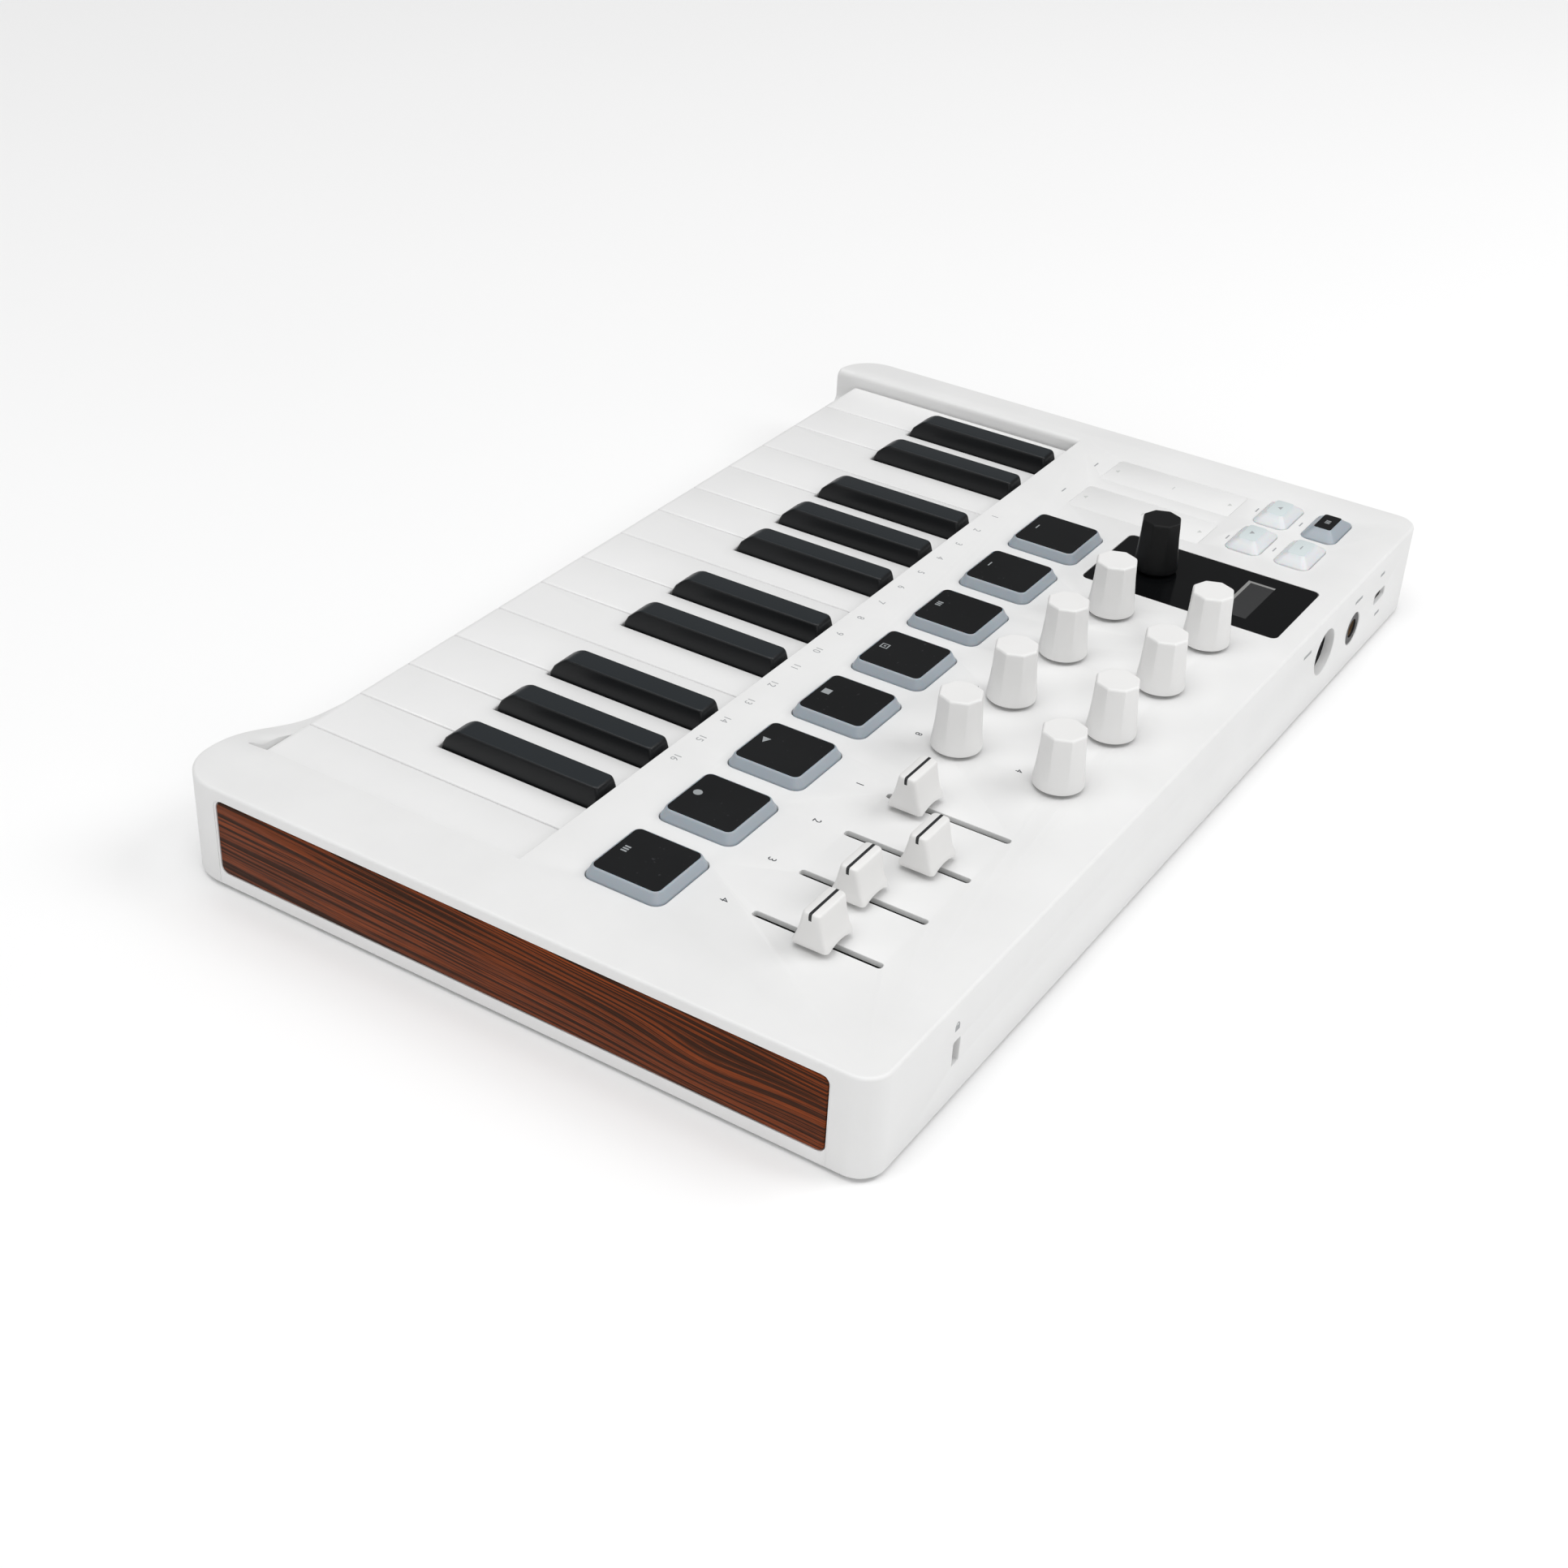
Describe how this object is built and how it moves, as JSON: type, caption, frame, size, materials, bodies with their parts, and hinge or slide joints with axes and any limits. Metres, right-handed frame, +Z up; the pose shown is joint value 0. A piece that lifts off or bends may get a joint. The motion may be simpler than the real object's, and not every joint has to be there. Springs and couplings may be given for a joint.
{
  "type": "midi keyboard",
  "caption": "Desktop key controller in a white case with hinged keys, press pads, turning encoders, sliding faders, press buttons, a display panel and wooden ends.",
  "frame": {"origin": "centre of the bounding box in plan, on the plane the feet stand on", "axes": "+X to the player's right along the keyboard, +Y to the back where the sockets are, +Z up"},
  "size_m": [0.355, 0.22, 0.05],
  "materials": {
    "case_white": "satin",
    "base_white": "matte",
    "wood_grain": "satin",
    "display_black": "gloss",
    "frame_steel": "satin",
    "board_green": "satin",
    "socket_black": "satin",
    "key_white": "semi-gloss",
    "key_black": "satin",
    "pad_rubber": "matte",
    "knob_white": "matte",
    "knob_black": "satin",
    "shaft_steel": "satin",
    "fader_white": "satin",
    "button_pale": "satin",
    "button_dark": "satin"
  },
  "bodies": {
    "case": {"top_case": "case_white", "bottom_case": "base_white", "wood_side_right": "wood_grain", "wood_side_left": "wood_grain", "display_panel": "display_black", "key_frame": "frame_steel", "key_contact_board": "board_green", "control_board": "board_green", "socket_board": "socket_black"},
    "browse_shaft": {"browse_shaft": "shaft_steel"},
    "browse_knob": {"browse_knob": "knob_black"},
    "knob_1": {"knob_1": "knob_white"},
    "knob_2": {"knob_2": "knob_white"},
    "knob_3": {"knob_3": "knob_white"},
    "knob_4": {"knob_4": "knob_white"},
    "knob_5": {"knob_5": "knob_white"},
    "knob_6": {"knob_6": "knob_white"},
    "knob_7": {"knob_7": "knob_white"},
    "knob_8": {"knob_8": "knob_white"},
    "fader_cap_1": {"fader_cap_1": "fader_white"},
    "fader_cap_2": {"fader_cap_2": "fader_white"},
    "fader_cap_3": {"fader_cap_3": "fader_white"},
    "fader_cap_4": {"fader_cap_4": "fader_white"},
    "button_shift": {"button_shift": "button_dark"},
    "button_hold": {"button_hold": "button_pale"},
    "button_octave_down": {"button_octave_down": "button_pale"},
    "button_octave_up": {"button_octave_up": "button_pale"},
    "pad_1": {"pad_1": "pad_rubber"},
    "pad_2": {"pad_2": "pad_rubber"},
    "pad_3": {"pad_3": "pad_rubber"},
    "pad_4": {"pad_4": "pad_rubber"},
    "pad_5": {"pad_5": "pad_rubber"},
    "pad_6": {"pad_6": "pad_rubber"},
    "pad_7": {"pad_7": "pad_rubber"},
    "pad_8": {"pad_8": "pad_rubber"},
    "white_key_01": {"white_key_01": "key_white"},
    "white_key_02": {"white_key_02": "key_white"},
    "white_key_03": {"white_key_03": "key_white"},
    "white_key_04": {"white_key_04": "key_white"},
    "white_key_05": {"white_key_05": "key_white"},
    "white_key_06": {"white_key_06": "key_white"},
    "white_key_07": {"white_key_07": "key_white"},
    "white_key_08": {"white_key_08": "key_white"},
    "white_key_09": {"white_key_09": "key_white"},
    "white_key_10": {"white_key_10": "key_white"},
    "white_key_11": {"white_key_11": "key_white"},
    "white_key_12": {"white_key_12": "key_white"},
    "white_key_13": {"white_key_13": "key_white"},
    "white_key_14": {"white_key_14": "key_white"},
    "white_key_15": {"white_key_15": "key_white"},
    "black_key_01": {"black_key_01": "key_black"},
    "black_key_02": {"black_key_02": "key_black"},
    "black_key_03": {"black_key_03": "key_black"},
    "black_key_04": {"black_key_04": "key_black"},
    "black_key_05": {"black_key_05": "key_black"},
    "black_key_06": {"black_key_06": "key_black"},
    "black_key_07": {"black_key_07": "key_black"},
    "black_key_08": {"black_key_08": "key_black"},
    "black_key_09": {"black_key_09": "key_black"},
    "black_key_10": {"black_key_10": "key_black"}
  },
  "joints": [
    {"name": "fader_1_slide", "type": "slide", "parent": "case", "child": "fader_cap_1", "axis": [0, 1, 0], "range_m": [-0.00485, 0.02515]},
    {"name": "fader_2_slide", "type": "slide", "parent": "case", "child": "fader_cap_2", "axis": [0, 1, 0], "range_m": [-0.02095, 0.00905]},
    {"name": "fader_3_slide", "type": "slide", "parent": "case", "child": "fader_cap_3", "axis": [0, 1, 0], "range_m": [-0.01365, 0.01635]},
    {"name": "fader_4_slide", "type": "slide", "parent": "case", "child": "fader_cap_4", "axis": [0, 1, 0], "range_m": [-0.01645, 0.01355]},
    {"name": "browse_push", "type": "slide", "parent": "case", "child": "browse_shaft", "axis": [0, 0, -1], "range_m": [0, 0.0005], "stiffness_N_per_m": 1500, "springref_m": -0.001},
    {"name": "browse_turn", "type": "hinge", "parent": "browse_shaft", "child": "browse_knob", "pos_m": [-0.0903, 0.053, 0.0331], "axis": [0, 0, 1], "continuous": true},
    {"name": "button_shift_press", "type": "slide", "parent": "case", "child": "button_shift", "axis": [0, 0, -1], "range_m": [0, 0.0008], "stiffness_N_per_m": 400, "springref_m": -0.001},
    {"name": "button_hold_press", "type": "slide", "parent": "case", "child": "button_hold", "axis": [0, 0, -1], "range_m": [0, 0.0008], "stiffness_N_per_m": 400, "springref_m": -0.001},
    {"name": "button_octave_down_press", "type": "slide", "parent": "case", "child": "button_octave_down", "axis": [0, 0, -1], "range_m": [0, 0.0008], "stiffness_N_per_m": 400, "springref_m": -0.001},
    {"name": "button_octave_up_press", "type": "slide", "parent": "case", "child": "button_octave_up", "axis": [0, 0, -1], "range_m": [0, 0.0008], "stiffness_N_per_m": 400, "springref_m": -0.001},
    {"name": "knob_1_turn", "type": "hinge", "parent": "case", "child": "knob_1", "pos_m": [-0.0561, 0.0857, 0.0331], "axis": [0, 0, 1], "continuous": true},
    {"name": "knob_2_turn", "type": "hinge", "parent": "case", "child": "knob_2", "pos_m": [-0.0237, 0.0857, 0.0331], "axis": [0, 0, 1], "continuous": true},
    {"name": "knob_3_turn", "type": "hinge", "parent": "case", "child": "knob_3", "pos_m": [0.0087, 0.0857, 0.0331], "axis": [0, 0, 1], "continuous": true},
    {"name": "knob_4_turn", "type": "hinge", "parent": "case", "child": "knob_4", "pos_m": [0.0411, 0.0857, 0.0331], "axis": [0, 0, 1], "continuous": true},
    {"name": "knob_5_turn", "type": "hinge", "parent": "case", "child": "knob_5", "pos_m": [-0.0561, 0.0539, 0.0331], "axis": [0, 0, 1], "continuous": true},
    {"name": "knob_6_turn", "type": "hinge", "parent": "case", "child": "knob_6", "pos_m": [-0.0237, 0.0539, 0.0331], "axis": [0, 0, 1], "continuous": true},
    {"name": "knob_7_turn", "type": "hinge", "parent": "case", "child": "knob_7", "pos_m": [0.0087, 0.0539, 0.0331], "axis": [0, 0, 1], "continuous": true},
    {"name": "knob_8_turn", "type": "hinge", "parent": "case", "child": "knob_8", "pos_m": [0.0411, 0.0539, 0.0331], "axis": [0, 0, 1], "continuous": true},
    {"name": "pad_1_press", "type": "slide", "parent": "case", "child": "pad_1", "axis": [0, 0, -1], "range_m": [0, 0.0008], "stiffness_N_per_m": 600, "springref_m": -0.001},
    {"name": "pad_2_press", "type": "slide", "parent": "case", "child": "pad_2", "axis": [0, 0, -1], "range_m": [0, 0.0008], "stiffness_N_per_m": 600, "springref_m": -0.001},
    {"name": "pad_3_press", "type": "slide", "parent": "case", "child": "pad_3", "axis": [0, 0, -1], "range_m": [0, 0.0008], "stiffness_N_per_m": 600, "springref_m": -0.001},
    {"name": "pad_4_press", "type": "slide", "parent": "case", "child": "pad_4", "axis": [0, 0, -1], "range_m": [0, 0.0008], "stiffness_N_per_m": 600, "springref_m": -0.001},
    {"name": "pad_5_press", "type": "slide", "parent": "case", "child": "pad_5", "axis": [0, 0, -1], "range_m": [0, 0.0008], "stiffness_N_per_m": 600, "springref_m": -0.001},
    {"name": "pad_6_press", "type": "slide", "parent": "case", "child": "pad_6", "axis": [0, 0, -1], "range_m": [0, 0.0008], "stiffness_N_per_m": 600, "springref_m": -0.001},
    {"name": "pad_7_press", "type": "slide", "parent": "case", "child": "pad_7", "axis": [0, 0, -1], "range_m": [0, 0.0008], "stiffness_N_per_m": 600, "springref_m": -0.001},
    {"name": "pad_8_press", "type": "slide", "parent": "case", "child": "pad_8", "axis": [0, 0, -1], "range_m": [0, 0.0008], "stiffness_N_per_m": 600, "springref_m": -0.001},
    {"name": "white_key_01_tilt", "type": "hinge", "parent": "case", "child": "white_key_01", "pos_m": [0, -0.006, 0.0205], "axis": [1, 0, 0], "range_deg": [0, 3.6], "stiffness_Nm_per_rad": 0.4, "springref_deg": -4.58},
    {"name": "white_key_02_tilt", "type": "hinge", "parent": "case", "child": "white_key_02", "pos_m": [0, -0.006, 0.0205], "axis": [1, 0, 0], "range_deg": [0, 3.6], "stiffness_Nm_per_rad": 0.4, "springref_deg": -4.58},
    {"name": "white_key_03_tilt", "type": "hinge", "parent": "case", "child": "white_key_03", "pos_m": [0, -0.006, 0.0205], "axis": [1, 0, 0], "range_deg": [0, 3.6], "stiffness_Nm_per_rad": 0.4, "springref_deg": -4.58},
    {"name": "white_key_04_tilt", "type": "hinge", "parent": "case", "child": "white_key_04", "pos_m": [0, -0.006, 0.0205], "axis": [1, 0, 0], "range_deg": [0, 3.6], "stiffness_Nm_per_rad": 0.4, "springref_deg": -4.58},
    {"name": "white_key_05_tilt", "type": "hinge", "parent": "case", "child": "white_key_05", "pos_m": [0, -0.006, 0.0205], "axis": [1, 0, 0], "range_deg": [0, 3.6], "stiffness_Nm_per_rad": 0.4, "springref_deg": -4.58},
    {"name": "white_key_06_tilt", "type": "hinge", "parent": "case", "child": "white_key_06", "pos_m": [0, -0.006, 0.0205], "axis": [1, 0, 0], "range_deg": [0, 3.6], "stiffness_Nm_per_rad": 0.4, "springref_deg": -4.58},
    {"name": "white_key_07_tilt", "type": "hinge", "parent": "case", "child": "white_key_07", "pos_m": [0, -0.006, 0.0205], "axis": [1, 0, 0], "range_deg": [0, 3.6], "stiffness_Nm_per_rad": 0.4, "springref_deg": -4.58},
    {"name": "white_key_08_tilt", "type": "hinge", "parent": "case", "child": "white_key_08", "pos_m": [0, -0.006, 0.0205], "axis": [1, 0, 0], "range_deg": [0, 3.6], "stiffness_Nm_per_rad": 0.4, "springref_deg": -4.58},
    {"name": "white_key_09_tilt", "type": "hinge", "parent": "case", "child": "white_key_09", "pos_m": [0, -0.006, 0.0205], "axis": [1, 0, 0], "range_deg": [0, 3.6], "stiffness_Nm_per_rad": 0.4, "springref_deg": -4.58},
    {"name": "white_key_10_tilt", "type": "hinge", "parent": "case", "child": "white_key_10", "pos_m": [0, -0.006, 0.0205], "axis": [1, 0, 0], "range_deg": [0, 3.6], "stiffness_Nm_per_rad": 0.4, "springref_deg": -4.58},
    {"name": "white_key_11_tilt", "type": "hinge", "parent": "case", "child": "white_key_11", "pos_m": [0, -0.006, 0.0205], "axis": [1, 0, 0], "range_deg": [0, 3.6], "stiffness_Nm_per_rad": 0.4, "springref_deg": -4.58},
    {"name": "white_key_12_tilt", "type": "hinge", "parent": "case", "child": "white_key_12", "pos_m": [0, -0.006, 0.0205], "axis": [1, 0, 0], "range_deg": [0, 3.6], "stiffness_Nm_per_rad": 0.4, "springref_deg": -4.58},
    {"name": "white_key_13_tilt", "type": "hinge", "parent": "case", "child": "white_key_13", "pos_m": [0, -0.006, 0.0205], "axis": [1, 0, 0], "range_deg": [0, 3.6], "stiffness_Nm_per_rad": 0.4, "springref_deg": -4.58},
    {"name": "white_key_14_tilt", "type": "hinge", "parent": "case", "child": "white_key_14", "pos_m": [0, -0.006, 0.0205], "axis": [1, 0, 0], "range_deg": [0, 3.6], "stiffness_Nm_per_rad": 0.4, "springref_deg": -4.58},
    {"name": "white_key_15_tilt", "type": "hinge", "parent": "case", "child": "white_key_15", "pos_m": [0, -0.006, 0.0205], "axis": [1, 0, 0], "range_deg": [0, 3.6], "stiffness_Nm_per_rad": 0.4, "springref_deg": -4.58},
    {"name": "black_key_01_tilt", "type": "hinge", "parent": "case", "child": "black_key_01", "pos_m": [0, -0.006, 0.0205], "axis": [1, 0, 0], "range_deg": [0, 3.6], "stiffness_Nm_per_rad": 0.4, "springref_deg": -4.58},
    {"name": "black_key_02_tilt", "type": "hinge", "parent": "case", "child": "black_key_02", "pos_m": [0, -0.006, 0.0205], "axis": [1, 0, 0], "range_deg": [0, 3.6], "stiffness_Nm_per_rad": 0.4, "springref_deg": -4.58},
    {"name": "black_key_03_tilt", "type": "hinge", "parent": "case", "child": "black_key_03", "pos_m": [0, -0.006, 0.0205], "axis": [1, 0, 0], "range_deg": [0, 3.6], "stiffness_Nm_per_rad": 0.4, "springref_deg": -4.58},
    {"name": "black_key_04_tilt", "type": "hinge", "parent": "case", "child": "black_key_04", "pos_m": [0, -0.006, 0.0205], "axis": [1, 0, 0], "range_deg": [0, 3.6], "stiffness_Nm_per_rad": 0.4, "springref_deg": -4.58},
    {"name": "black_key_05_tilt", "type": "hinge", "parent": "case", "child": "black_key_05", "pos_m": [0, -0.006, 0.0205], "axis": [1, 0, 0], "range_deg": [0, 3.6], "stiffness_Nm_per_rad": 0.4, "springref_deg": -4.58},
    {"name": "black_key_06_tilt", "type": "hinge", "parent": "case", "child": "black_key_06", "pos_m": [0, -0.006, 0.0205], "axis": [1, 0, 0], "range_deg": [0, 3.6], "stiffness_Nm_per_rad": 0.4, "springref_deg": -4.58},
    {"name": "black_key_07_tilt", "type": "hinge", "parent": "case", "child": "black_key_07", "pos_m": [0, -0.006, 0.0205], "axis": [1, 0, 0], "range_deg": [0, 3.6], "stiffness_Nm_per_rad": 0.4, "springref_deg": -4.58},
    {"name": "black_key_08_tilt", "type": "hinge", "parent": "case", "child": "black_key_08", "pos_m": [0, -0.006, 0.0205], "axis": [1, 0, 0], "range_deg": [0, 3.6], "stiffness_Nm_per_rad": 0.4, "springref_deg": -4.58},
    {"name": "black_key_09_tilt", "type": "hinge", "parent": "case", "child": "black_key_09", "pos_m": [0, -0.006, 0.0205], "axis": [1, 0, 0], "range_deg": [0, 3.6], "stiffness_Nm_per_rad": 0.4, "springref_deg": -4.58},
    {"name": "black_key_10_tilt", "type": "hinge", "parent": "case", "child": "black_key_10", "pos_m": [0, -0.006, 0.0205], "axis": [1, 0, 0], "range_deg": [0, 3.6], "stiffness_Nm_per_rad": 0.4, "springref_deg": -4.58}
  ]
}
